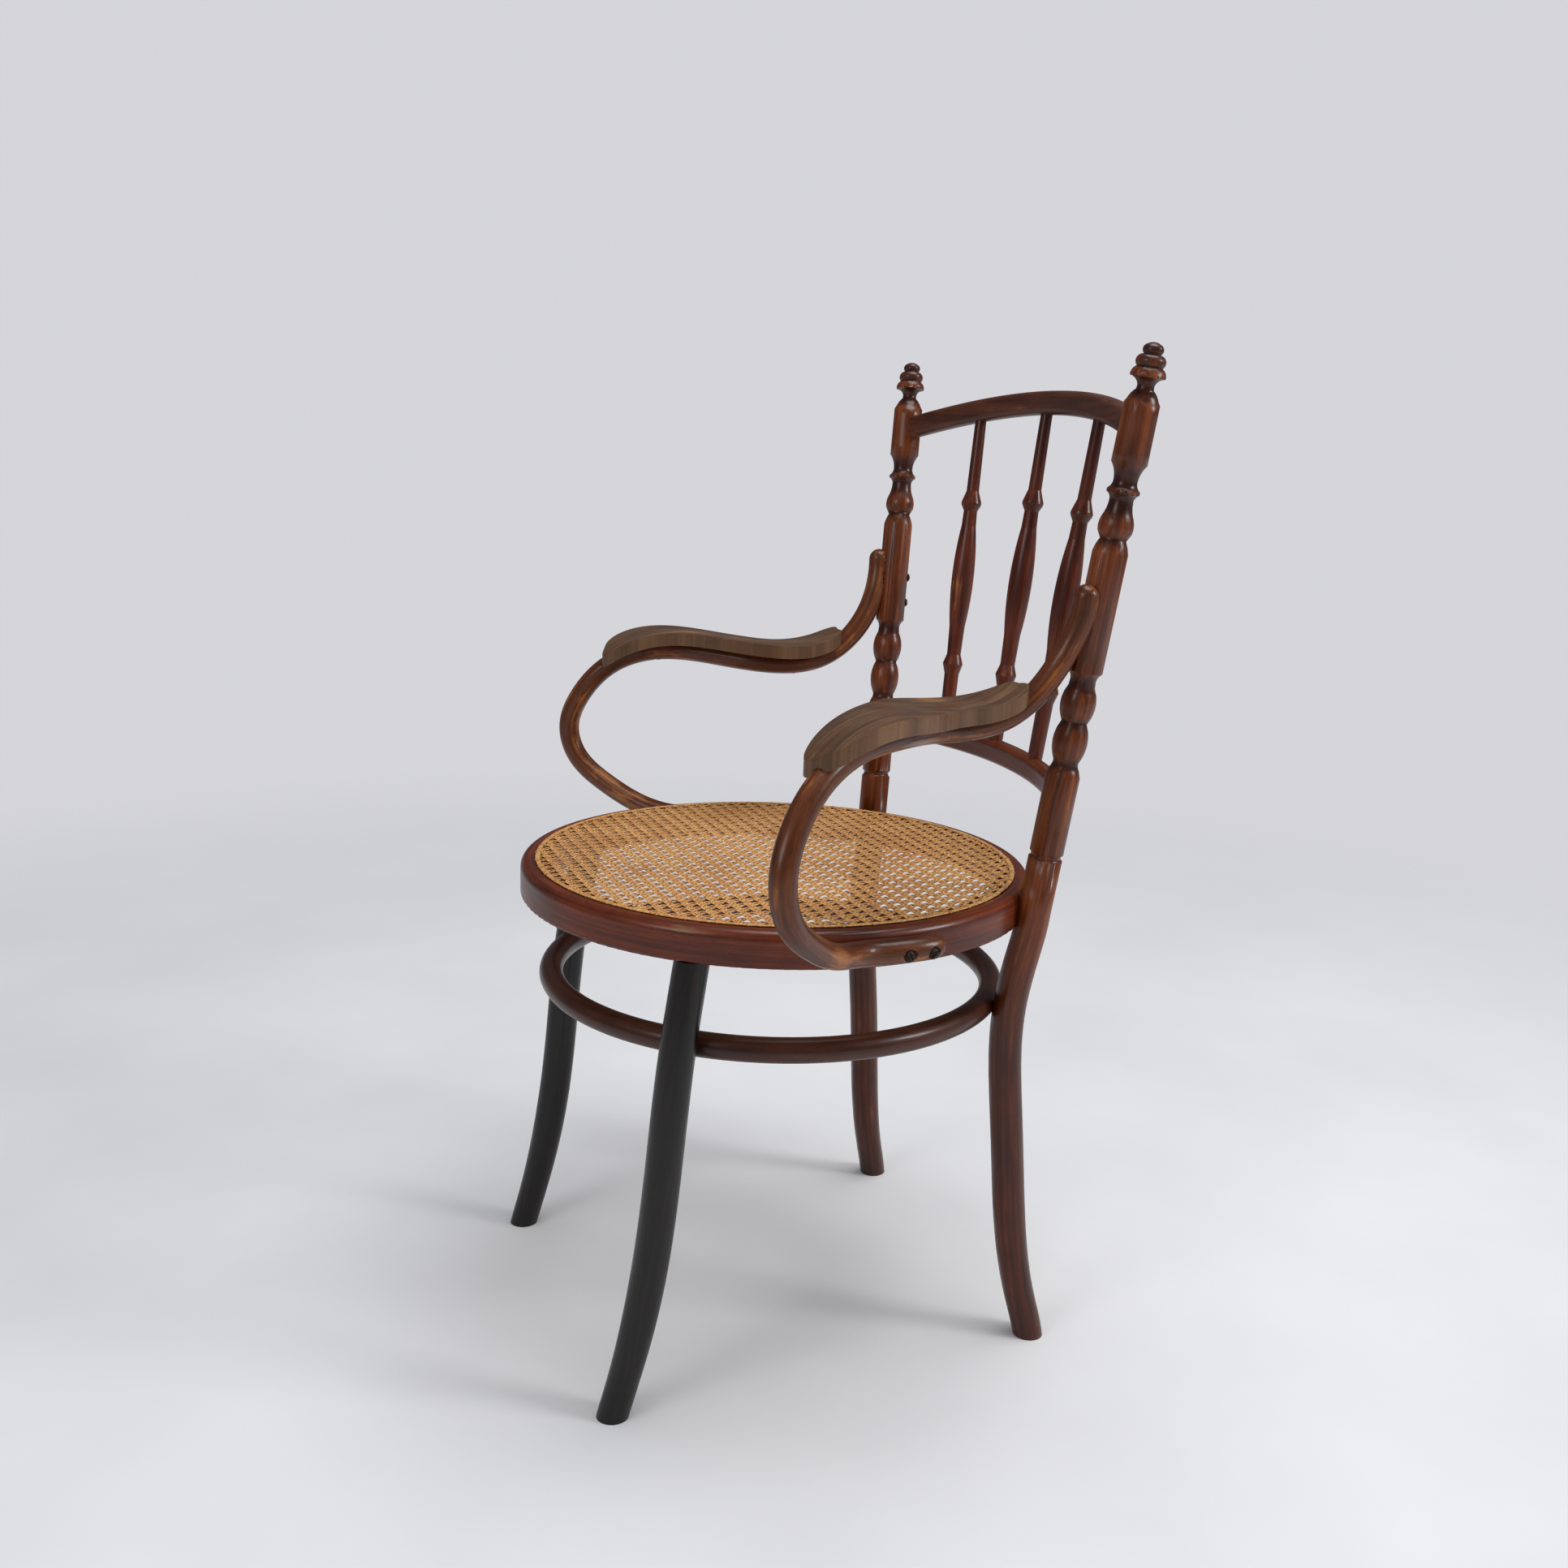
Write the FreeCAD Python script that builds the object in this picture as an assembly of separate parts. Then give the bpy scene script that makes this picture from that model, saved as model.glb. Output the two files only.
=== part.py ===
import FreeCAD, Part
import math
import os

V = FreeCAD.Vector
UP = V(0, 0, 1)

# Bentwood open armchair with a round caned seat. Millimetres, +Z up.
# The sitter faces -Y and the sitter's left hand is on +X.
# While it is being drawn, the middle of the seat stands over X = 0, Y = 0.

# Seat ring and cane
seat_height = 425.5
seat_radius = 233.0
ring_width = 29.0
ring_thickness = 31.0
ring_top_round = 8.0
ring_edge_round = 2.5
rabbet_depth = 1.6
rabbet_land = 3.0
cane_thickness = 1.6
cane_fit = 0.3
cane_gap_pitch = 21.6
cane_gap_diameter = 12.0
cane_border = 9.0
binder_radius = 217.5
binder_width = 5.0
binder_thickness = 1.8

# Stretcher ring inside the four legs
stretcher_height = 317.0
stretcher_radius = 205.0
stretcher_diameter = 21.5

# Legs: how far they stand from the middle of the seat, and in which direction
cope_depth = 1.2
front_top_diameter = 29.0
front_knee_diameter = 30.5
front_foot_diameter = 25.5
front_seat_angle = -38.4
front_stretcher_angle = -40.1
front_foot_x = 175.0
front_foot_y = -197.0
front_shin_bow = 9.0
front_ankle_bow = 7.0
front_tenon_diameter = 17.0
front_tenon_length = 20.0
rear_foot_diameter = 26.5
rear_knee_diameter = 29.5
rear_seat_angle = 46.1
rear_stretcher_angle = 46.3
rear_foot_x = 173.0
rear_foot_y = 200.0
rear_knee_height = 200.0
rear_knee_x = 157.5
rear_knee_y = 172.5
rear_ankle_bow = 6.0

# Turned back posts: lean, splay and the heights of the turnings above the seat
post_diameter = 29.4
post_lean = 5.16
post_splay = 5.70
post_neck_diameter = 21.4
post_groove_diameter = 25.8
post_seat_cope = 2.4
groove_rise = 35.5
low_block_rise = 38.5
low_block_top_rise = 106.5
low_neck_rise = 117.5
low_bulb_rise = 138.0
bulb_groove_rise = 153.3
high_bulb_rise = 166.0
high_neck_rise = 190.0
mid_block_rise = 197.2
mid_block_top_rise = 295.8
vase_foot_rise = 306.6
vase_rise = 317.0
vase_neck_rise = 337.3
bead_rise = 345.3
cone_rise = 354.6
top_block_rise = 367.8
top_block_top_rise = 414.6
finial_neck_rise = 428.5
skirt_rise = 436.1
tier_foot_rise = 442.9
tier_rise = 447.4
button_foot_rise = 452.6
button_rise = 456.6
finial_top_rise = 462.0
vase_neck_diameter = 19.6
bead_diameter = 27.0
finial_neck_diameter = 13.6
skirt_diameter = 28.6
tier_diameter = 24.2
button_diameter = 16.8

# Back rails and spindles
rail_height = 22.0
rail_depth = 16.0
rail_round = 6.0
rail_tenon_diameter = 12.0
rail_tenon_length = 9.0
top_rail_rise = 394.0
top_rail_bow = 43.0
top_rail_crown = 26.0
low_rail_rise = 89.6
low_rail_bow = 37.0
low_rail_crown = 2.5
spindle_top_spread = 108.0
spindle_foot_spread = 88.0
spindle_top_diameter = 10.8
spindle_ring_diameter = 20.0
spindle_waist_diameter = 13.8
spindle_belly_diameter = 21.4
spindle_foot_diameter = 13.4
spindle_tenon_diameter = 8.6
spindle_tenon_length = 9.0

# Bent arms
arm_diameter = 21.0
arm_flat = 2.0
arm_top_rise = 260.0
arm_leave_rise = 242.0
arm_post_offset = 17.0
arm_post_turn = 14.0
arm_tail_drop = 15.3
arm_tail_start = -4.0
arm_tail_middle = 4.0
arm_tail_end = 10.6

# Arm pads
pad_width = 62.0
pad_back_y = 136.0
pad_front_y = -86.0
pad_thickness = 13.0
pad_seat_depth = 2.0
pad_corner_power = 4
pad_plan_points = 18
pad_wave_points = 8
pad_wave_inset = 12.0

# Screws
screw_clearance = 0.3
arm_screw_diameter = 4.5
arm_screw_head = 9.0
arm_screw_dome = 2.6
arm_screw_bite = 8.0
post_screw_rise_high = 241.5
post_screw_rise_low = 215.5
rim_screw_diameter = 5.0
rim_screw_head = 10.5
rim_screw_length = 34.0
rim_screw_angle_back = 9.3
rim_screw_angle_front = 4.2
rim_screw_drop = 2.5
rim_screw_spot = 1.2
pad_screw_diameter = 4.0
pad_screw_head = 8.0
pad_screw_bite = 8.0
pad_screw_back_y = 88.0
pad_screw_front_y = -34.0
pad_screw_spot = 1.0
inside_screw_diameter = 5.0
inside_screw_head = 10.0
inside_screw_spot = 0.2
stretcher_screw_head = 8.0
stretcher_screw_spot = 1.0
stretcher_screw_bite = 14.0
seat_screw_bite = 17.0

fit = 0.3

# Free stretch of a bent arm, from the post to the seat rim:
# sideways, forward and above the seat
arm_bends = [
    (194.0, 172.0, 209.5),
    (192.0, 150.0, 179.0),
    (191.8, 120.0, 159.0),
    (192.2, 90.0, 152.5),
    (201.0, 56.0, 152.8),
    (226.0, 23.0, 156.0),
    (256.0, -10.5, 158.8),
    (277.0, -45.0, 155.7),
    (296.0, -83.0, 137.0),
    (309.0, -108.0, 105.5),
    (316.5, -118.5, 69.5),
    (311.0, -111.0, 40.0),
    (290.0, -85.0, 12.5),
    (262.0, -51.0, -8.0),
]


def polar(radius, angle, height):
    turn = math.radians(angle)
    return V(radius * math.cos(turn), radius * math.sin(turn), height)


def mirrored(shape):
    return shape.mirror(V(0, 0, 0), V(1, 0, 0))


def spline(points, start=None, end=None):
    curve = Part.BSplineCurve()
    if start is None:
        curve.interpolate(Points=points)
    else:
        curve.interpolate(Points=points, InitialTangent=start, FinalTangent=end)
    return curve


def disc(centre, axis, diameter):
    return Part.Wire(Part.Circle(centre, axis, diameter / 2).toShape())


# A round bar of one thickness along a curve
def bent_rod(curve, diameter):
    start = curve.FirstParameter
    section = disc(curve.value(start), V(*curve.tangent(start)[0]), diameter)
    return Part.Wire(curve.toShape()).makePipeShell([section], True, False)


# A round bar whose thickness changes along a curve
def tapered_rod(curve, diameters, stations):
    first = curve.FirstParameter
    span = curve.LastParameter - first
    sections = []
    for i in range(stations + 1):
        share = i / stations
        at = first + span * share
        place = share * (len(diameters) - 1)
        k = min(int(place), len(diameters) - 2)
        size = diameters[k] + (diameters[k + 1] - diameters[k]) * (place - k)
        sections.append(disc(curve.value(at), V(*curve.tangent(at)[0]), size))
    return Part.makeLoft(sections, True, False)


def pin(start, end, diameter):
    along = end - start
    return Part.makeCylinder(diameter / 2, along.Length, start, along)


# Outline of a turning: runs and rounded swells, given as distance along and diameter
class Outline:
    def __init__(self, at, diameter):
        self.edges = []
        self.start = V(diameter / 2, 0, at)
        self.here = self.start

    def run(self, at, diameter):
        there = V(diameter / 2, 0, at)
        self.edges.append(Part.LineSegment(self.here, there).toShape())
        self.here = there

    def swell(self, mid, mid_diameter, at, diameter):
        there = V(diameter / 2, 0, at)
        self.edges.append(Part.Arc(self.here, V(mid_diameter / 2, 0, mid), there).toShape())
        self.here = there

    def turned(self, base, direction):
        foot = V(0, 0, self.start.z)
        head = V(0, 0, self.here.z)
        edges = [Part.LineSegment(foot, self.start).toShape()] + self.edges
        edges.append(Part.LineSegment(self.here, head).toShape())
        edges.append(Part.LineSegment(head, foot).toShape())
        body = Part.Face(Part.Wire(edges)).revolve(V(0, 0, 0), UP, 360)
        body.Placement = FreeCAD.Placement(base, FreeCAD.Rotation(UP, direction))
        return body


# A dome-headed screw: the head stands on the surface at seat, the shank runs along drive
def round_head_screw(seat, drive, length, diameter, head, dome):
    line = Outline(-length, diameter)
    line.run(0, diameter)
    line.run(0, head)
    line.swell(dome * 0.62, head * 0.78, dome, head * 0.1)
    return line.turned(seat, V(drive) * -1)


# A countersunk screw, flush with the surface at seat
def flush_screw(seat, drive, length, diameter, head):
    line = Outline(-length, diameter)
    line.run((diameter - head) / 2, diameter)
    line.run(0, head)
    return line.turned(seat, V(drive) * -1)


# The straight middle line of a back post
def post_axis(rise):
    base = polar(seat_radius + post_diameter / 2 - post_seat_cope, rear_seat_angle, seat_height - ring_thickness / 2)
    climb = rise + ring_thickness / 2
    lean = math.tan(math.radians(post_lean))
    splay = math.tan(math.radians(post_splay))
    return base + V(splay, lean, 1) * climb


def post_direction():
    return (post_axis(100) - post_axis(0)).normalize()


def circles_at(shape, radius, height):
    found = []
    for edge in shape.Edges:
        if not isinstance(edge.Curve, Part.Circle):
            continue
        if abs(edge.Curve.Radius - radius) < 0.01 and abs(edge.BoundBox.ZMax - height) < 0.01:
            found.append(edge)
    return found


# Seat ring: a bent hoop with a rabbet for the cane
def make_seat_ring():
    top = seat_height
    bottom = seat_height - ring_thickness
    inner = seat_radius - ring_width
    land = binder_radius + rabbet_land
    corners = [V(inner, 0, bottom), V(seat_radius, 0, bottom), V(seat_radius, 0, top), V(land, 0, top),
               V(land, 0, top - rabbet_depth), V(inner, 0, top - rabbet_depth)]
    hoop = Part.Face(Part.makePolygon(corners + corners[:1])).revolve(V(0, 0, 0), UP, 360)
    hoop = hoop.makeFillet(ring_top_round, circles_at(hoop, seat_radius, top))
    hoop = hoop.makeFillet(ring_edge_round, circles_at(hoop, seat_radius, bottom))
    return hoop.makeFillet(ring_edge_round, circles_at(hoop, inner, bottom))


# Cane: one sheet with see-through gaps, lying in the rabbet
def make_cane_web():
    low = seat_height - rabbet_depth
    radius = binder_radius + rabbet_land - cane_fit
    open_radius = seat_radius - ring_width - cane_border
    steps = int(open_radius / cane_gap_pitch)
    holes = []
    for i in range(-steps, steps + 1):
        for j in range(-steps, steps + 1):
            x = i * cane_gap_pitch
            y = j * cane_gap_pitch
            if math.hypot(x, y) + cane_gap_diameter / 2 < open_radius:
                holes.append(Part.Wire(Part.Circle(V(x, y, low), UP, cane_gap_diameter / 2).toShape()))
    print("cane gaps", len(holes))
    rim = Part.Wire(Part.Circle(V(0, 0, low), UP, radius).toShape())
    face = Part.Face([rim] + holes, "Part::FaceMakerBullseye")
    return face.extrude(V(0, 0, cane_thickness))


def make_binder():
    low = seat_height - rabbet_depth + cane_thickness
    outer = Part.makeCylinder(binder_radius + binder_width / 2, binder_thickness, V(0, 0, low))
    inner = Part.makeCylinder(binder_radius - binder_width / 2, binder_thickness, V(0, 0, low))
    band = outer.cut(inner)
    top = [e for e in band.Edges if isinstance(e.Curve, Part.Circle) and e.BoundBox.ZMin > low + 0.1]
    return band.makeFillet(binder_thickness * 0.4, top)


def make_stretcher():
    return Part.makeTorus(stretcher_radius, stretcher_diameter / 2, V(0, 0, stretcher_height))


# A leg is drawn a little past the floor and past its top, then cut off square
def cut_to_heights(bar, low, high):
    return bar.common(Part.makeCylinder(2 * seat_radius, high - low, V(0, 0, low)))


def front_leg_top():
    return polar(seat_radius - ring_width / 2, front_seat_angle, seat_height - ring_thickness)


def front_leg_at_ring():
    reach = stretcher_radius + stretcher_diameter / 2 + front_knee_diameter / 2 - cope_depth
    return polar(reach, front_stretcher_angle, stretcher_height)


# Front leg: nearly upright at the seat, sweeping forward to the foot
def make_front_leg():
    top = front_leg_top()
    at_ring = front_leg_at_ring()
    foot = V(front_foot_x, front_foot_y, 0)
    shin = at_ring + (foot - at_ring) * 0.5 + V(0, front_shin_bow, 0)
    ankle = at_ring + (foot - at_ring) * 0.8 + V(0, front_ankle_bow, 0)
    over = top + (top - at_ring) * 0.3
    below = foot + (foot - ankle) * 0.3
    path = spline([over, top, at_ring, shin, ankle, foot, below])
    sizes = [front_top_diameter, front_knee_diameter, front_knee_diameter, front_foot_diameter]
    bar = cut_to_heights(tapered_rod(path, sizes, 10), 0, top.z)
    tenon = Part.makeCylinder(front_tenon_diameter / 2, front_tenon_length + 1, top - UP, UP)
    return bar.fuse(tenon).removeSplitter()


# Turned part of a back post, from the seat joint to the finial
def make_turned_post():
    direction = post_direction()
    slant = 1 / direction.z
    d = post_diameter
    neck = post_neck_diameter
    line = Outline(0, d)

    def at(rise):
        return (rise + ring_thickness / 2) * slant

    line.run(at(groove_rise - 3), d)
    line.swell(at(groove_rise), post_groove_diameter, at(low_block_rise), d)
    line.run(at(low_block_top_rise), d)
    line.run(at(low_neck_rise - 5), d * 0.86)
    line.swell(at(low_neck_rise - 1), neck * 1.02, at(low_neck_rise + 2), neck)
    line.swell(at(low_bulb_rise), d, at(bulb_groove_rise), post_neck_diameter)
    line.swell(at(high_bulb_rise), d, at(high_neck_rise - 6), neck * 1.04)
    line.run(at(high_neck_rise), neck)
    line.swell(at(high_neck_rise + 4), neck * 1.12, at(mid_block_rise), d)
    line.run(at(mid_block_top_rise), d)
    line.swell(at(mid_block_top_rise + 6), d * 0.88, at(vase_foot_rise), neck)
    line.swell(at(vase_foot_rise + 3), neck * 1.16, at(vase_rise - 4), d * 0.96)
    line.swell(at(vase_rise), d * 0.985, at(vase_rise + 7), d * 0.9)
    line.swell(at(vase_neck_rise - 7), vase_neck_diameter * 1.1, at(vase_neck_rise), vase_neck_diameter)
    line.swell(at(vase_neck_rise + 4), vase_neck_diameter * 1.08, at(bead_rise - 1.2), bead_diameter)
    line.run(at(bead_rise + 1.2), bead_diameter)
    line.swell(at(bead_rise + 5), vase_neck_diameter * 1.06, at(cone_rise), vase_neck_diameter)
    line.swell(at(cone_rise + 7), vase_neck_diameter * 1.14, at(top_block_rise), d)
    line.run(at(top_block_top_rise), d * 0.985)
    line.run(at(top_block_top_rise + 3), d * 0.86)
    line.swell(at(top_block_top_rise + 7), d * 0.72, at(finial_neck_rise - 3), finial_neck_diameter * 1.05)
    line.run(at(finial_neck_rise), finial_neck_diameter)
    line.swell(at(finial_neck_rise + 4), finial_neck_diameter * 1.3, at(skirt_rise - 1), skirt_diameter)
    line.run(at(skirt_rise + 1), skirt_diameter)
    line.swell(at(skirt_rise + 4.5), skirt_diameter * 0.9, at(tier_foot_rise), tier_diameter * 0.86)
    line.swell(at(tier_rise), tier_diameter, at(button_foot_rise), finial_neck_diameter)
    line.swell(at(button_rise), button_diameter, at(finial_top_rise - 1.5), button_diameter * 0.62)
    line.swell(at(finial_top_rise - 0.5), button_diameter * 0.4, at(finial_top_rise), button_diameter * 0.12)
    return line.turned(post_axis(-ring_thickness / 2), direction)


# Lower, bent part of a back post
def make_rear_leg():
    direction = post_direction()
    joint = post_axis(-ring_thickness / 2)
    reach = stretcher_radius + stretcher_diameter / 2 + post_diameter / 2 - cope_depth
    at_ring = polar(reach, rear_stretcher_angle, stretcher_height)
    knee = V(rear_knee_x, rear_knee_y, rear_knee_height)
    foot = V(rear_foot_x, rear_foot_y, 0)
    outward = V(foot.x - knee.x, foot.y - knee.y, 0).normalize()
    ankle = knee + (foot - knee) * 0.6 - outward * rear_ankle_bow
    below = foot + (foot - ankle) * 0.12
    reach_down = (below - ankle).normalize()
    path = spline([joint, at_ring, knee, ankle, below], direction * -1, reach_down)
    sizes = [post_diameter, post_diameter, rear_knee_diameter, rear_foot_diameter]
    return cut_to_heights(tapered_rod(path, sizes, 10), 0, seat_height)


def make_back_post():
    return make_rear_leg().fuse(make_turned_post()).removeSplitter()


# A bent rail: a rounded bar on one arc from post to post
def make_rail(rise, bow, crown):
    right = post_axis(rise)
    left = V(-right.x, right.y, right.z)
    middle = V(0, right.y + bow, right.z + crown)
    arc = Part.Arc(left, middle, right)
    along = V(*arc.tangent(arc.FirstParameter)[0])
    level = V(along.x, along.y, 0).normalize()
    back = UP.cross(level)
    up = along.cross(back) * -1
    half_h = rail_height / 2
    half_d = rail_depth / 2
    corners = [left + up * a * half_h + back * b * half_d for a, b in ((-1, -1), (-1, 1), (1, 1), (1, -1))]
    section = Part.makePolygon(corners + corners[:1])
    bar = Part.Wire(arc.toShape()).makePipeShell([section], True, False)
    return bar.makeFillet(rail_round, [e for e in bar.Edges if e.Length > 2 * rail_height])


def rail_point(rise, bow, crown, x):
    right = post_axis(rise)
    arc = Part.Arc(V(-right.x, right.y, right.z), V(0, right.y + bow, right.z + crown), right)
    low = arc.FirstParameter
    high = arc.LastParameter
    for _ in range(50):
        mid = (low + high) / 2
        if arc.value(mid).x < x:
            low = mid
        else:
            high = mid
    return arc.value((low + high) / 2), V(*arc.tangent((low + high) / 2)[0])


def rail_tenon(rise, bow, crown, extra):
    right = post_axis(rise)
    near, _ = rail_point(rise, bow, crown, right.x - post_diameter)
    along = (right - near).normalize()
    face = right - along * (post_diameter / 2)
    tip = face + along * (rail_tenon_length + extra)
    return pin(face - along * 3, tip, rail_tenon_diameter + 2 * extra)


# Spindles between the rails
def spindle_ends(spread):
    top, _ = rail_point(top_rail_rise, top_rail_bow, top_rail_crown, spread * spindle_top_spread)
    foot, _ = rail_point(low_rail_rise, low_rail_bow, low_rail_crown, spread * spindle_foot_spread)
    along = (top - foot).normalize()
    gap = rail_height / 2
    return foot + along * gap, top - along * gap, along


def make_spindle(spread):
    low, high, along = spindle_ends(spread)
    length = (high - low).Length
    ring = spindle_ring_diameter
    waist = spindle_waist_diameter
    seat = rail_height * 0.2
    line = Outline(-seat, spindle_foot_diameter)
    line.run(length * 0.17, spindle_foot_diameter * 1.08)
    line.run(length * 0.197, ring - 1)
    line.run(length * 0.203, ring)
    line.run(length * 0.209, ring - 1)
    line.run(length * 0.235, waist)
    line.run(length * 0.33, waist * 1.12)
    line.swell(length * 0.53, spindle_belly_diameter, length * 0.66, waist * 1.04)
    line.run(length * 0.71, waist * 0.96)
    line.run(length * 0.728, ring - 1)
    line.run(length * 0.735, ring)
    line.run(length * 0.742, ring - 1)
    line.run(length * 0.775, spindle_top_diameter * 1.14)
    line.run(length + seat, spindle_top_diameter)
    return line.turned(low, along)


def spindle_tenons(spread, extra):
    low, high, along = spindle_ends(spread)
    reach = spindle_tenon_length + extra
    size = spindle_tenon_diameter + 2 * extra
    return pin(high - along, high + along * reach, size).fuse(pin(low + along, low - along * reach, size))


# Bent arm: from the front of the post, out and down in a loop, to the rim of the seat
def arm_path():
    turn = math.radians(arm_post_turn)
    off = V(math.sin(turn), -math.cos(turn), 0) * arm_post_offset
    points = [post_axis(arm_top_rise) + off, post_axis(arm_leave_rise) + off]
    points += [V(x, y, seat_height + rise) for x, y, rise in arm_bends]
    radius = seat_radius + arm_diameter / 2 - arm_flat
    for angle in (arm_tail_start, arm_tail_middle, arm_tail_end):
        points.append(polar(radius, angle, seat_height - arm_tail_drop))
    return spline(points)


# The foremost point of an arm's loop
def arm_front():
    x, y, rise = min(arm_bends, key=lambda bend: bend[1])
    return V(x, y, seat_height + rise)


def path_at_y(path, y):
    low = path.FirstParameter
    high = path.parameter(arm_front())
    for _ in range(50):
        mid = (low + high) / 2
        if path.value(mid).y > y:
            low = mid
        else:
            high = mid
    return (low + high) / 2


def make_arm(path):
    rod = bent_rod(path, arm_diameter)
    for end in (path.FirstParameter, path.LastParameter):
        rod = rod.fuse(Part.makeSphere(arm_diameter / 2, path.value(end)))
    return rod


# Arm pad: a board that follows the rise and fall of the arm, rounded in plan
def make_pad(path):
    back = path_at_y(path, pad_back_y)
    front = path_at_y(path, pad_front_y)
    one_side = []
    other_side = []
    for i in range(pad_plan_points + 1):
        share = (1 - math.cos(math.pi * i / pad_plan_points)) / 2
        at = back + (front - back) * share
        spot = path.value(at)
        along = V(*path.tangent(at)[0])
        along = V(along.x, along.y, 0).normalize()
        half = pad_width / 2 * (1 - abs(2 * share - 1) ** pad_corner_power) ** (1 / pad_corner_power)
        side = UP.cross(along) * half
        ground = V(spot.x, spot.y, 0)
        one_side.append(ground + side)
        other_side.append(ground - side)
    outline = one_side + other_side[-2:0:-1]
    curve = Part.BSplineCurve()
    curve.interpolate(Points=outline, PeriodicFlag=True)
    plan = Part.Face(Part.Wire(curve.toShape())).extrude(UP * post_axis(finial_top_rise).z)
    lift = arm_diameter / 2 - pad_seat_depth
    start = pad_back_y + pad_wave_inset
    end = pad_front_y - pad_wave_inset
    run = []
    for i in range(pad_wave_points + 1):
        spot = path.value(path_at_y(path, start + (end - start) * i / pad_wave_points))
        run.append(V(0, spot.y, spot.z + lift))
    low = spline(run)
    high = spline([p + UP * pad_thickness for p in run])
    edges = [low.toShape(), Part.LineSegment(run[-1], run[-1] + UP * pad_thickness).toShape(),
             high.toShape(), Part.LineSegment(run[0] + UP * pad_thickness, run[0]).toShape()]
    wave = Part.Face(Part.Wire(Part.__sortEdges__(edges))).extrude(V(2 * seat_radius, 0, 0))
    return plan.common(wave)


def screw_hole(maker, seat, drive, length, diameter, head, *rest):
    drive = V(drive).normalize()
    hole = pin(seat, seat + drive * (length + screw_clearance), diameter + 2 * screw_clearance)
    room = pin(seat - drive * 6, seat, head + 2 * screw_clearance)
    if maker is flush_screw:
        depth = (head - diameter) / 2
        room = room.fuse(Part.makeCone(head / 2 + screw_clearance, diameter / 2 + screw_clearance, depth, seat, drive))
    return hole.fuse(room)


# Every screw of the left half: name, maker, seat, drive, length, thickness and head
def screw_list(path):
    turn = math.radians(arm_post_turn)
    forward = V(math.sin(turn), -math.cos(turn), 0)
    screws = []
    for rise in (post_screw_rise_high, post_screw_rise_low):
        seat = post_axis(rise) - forward * (post_diameter / 2)
        screws.append(("arm_post_screws", round_head_screw, seat, forward, post_diameter + arm_screw_bite,
                       arm_screw_diameter, arm_screw_head, arm_screw_dome))
    rim = seat_radius + arm_diameter - arm_flat - rim_screw_spot
    height = seat_height - arm_tail_drop - rim_screw_drop
    for angle in (rim_screw_angle_front, rim_screw_angle_back):
        screws.append(("arm_rim_screws", round_head_screw, polar(rim, angle, height), polar(-1, angle, 0),
                       rim_screw_length, rim_screw_diameter, rim_screw_head, arm_screw_dome))
    for y in (pad_screw_back_y, pad_screw_front_y):
        spot = path.value(path_at_y(path, y))
        seat = spot - UP * (arm_diameter / 2 - pad_screw_spot)
        length = arm_diameter - pad_screw_spot - pad_seat_depth + pad_screw_bite
        screws.append(("pad_screws", round_head_screw, seat, UP, length,
                       pad_screw_diameter, pad_screw_head, pad_screw_spot))
    inner = seat_radius - ring_width + inside_screw_spot
    screws.append(("seat_screws", flush_screw, polar(inner, rear_seat_angle, seat_height - ring_thickness / 2),
                   polar(1, rear_seat_angle, 0), ring_width + seat_screw_bite, inside_screw_diameter, inside_screw_head))
    inner = stretcher_radius - stretcher_diameter / 2 + stretcher_screw_spot
    length = stretcher_diameter - stretcher_screw_spot + stretcher_screw_bite
    for angle in (front_stretcher_angle, rear_stretcher_angle):
        screws.append(("stretcher_screws", flush_screw, polar(inner, angle, stretcher_height),
                       polar(1, angle, 0), length, inside_screw_diameter, stretcher_screw_head))
    return screws


# Make every piece of the left half, then mirror it for the right
ring = make_seat_ring()
stretcher = make_stretcher()
path = arm_path()
front_leg = make_front_leg().cut(stretcher)
post_blank = make_back_post()
post = post_blank.cut(ring).cut(stretcher)
top_rail = make_rail(top_rail_rise, top_rail_bow, top_rail_crown)
low_rail = make_rail(low_rail_rise, low_rail_bow, low_rail_crown)
pad = make_pad(path)
arm = make_arm(path).cut(post_blank).cut(ring).cut(pad)
spindle = make_spindle(1).cut(top_rail).cut(low_rail).fuse(spindle_tenons(1, 0))
centre_spindle = make_spindle(0).cut(top_rail).cut(low_rail).fuse(spindle_tenons(0, 0))

both_posts = post_blank.fuse(mirrored(post_blank))
rails = []
for bar, rise, bow, crown in ((top_rail, top_rail_rise, top_rail_bow, top_rail_crown),
                              (low_rail, low_rail_rise, low_rail_bow, low_rail_crown)):
    tenon = rail_tenon(rise, bow, crown, 0)
    post = post.cut(rail_tenon(rise, bow, crown, fit))
    bar = bar.cut(both_posts).fuse([tenon, mirrored(tenon)]).removeSplitter()
    rails.append(bar)
top_rail, low_rail = rails
for spread in (-1, 0, 1):
    holes = spindle_tenons(spread, fit)
    top_rail = top_rail.cut(holes)
    low_rail = low_rail.cut(holes)

leg_hole = pin(front_leg_top() - UP, front_leg_top() + UP * (front_tenon_length + fit), front_tenon_diameter + 2 * fit)
ring = ring.cut(leg_hole).cut(mirrored(leg_hole))

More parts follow.
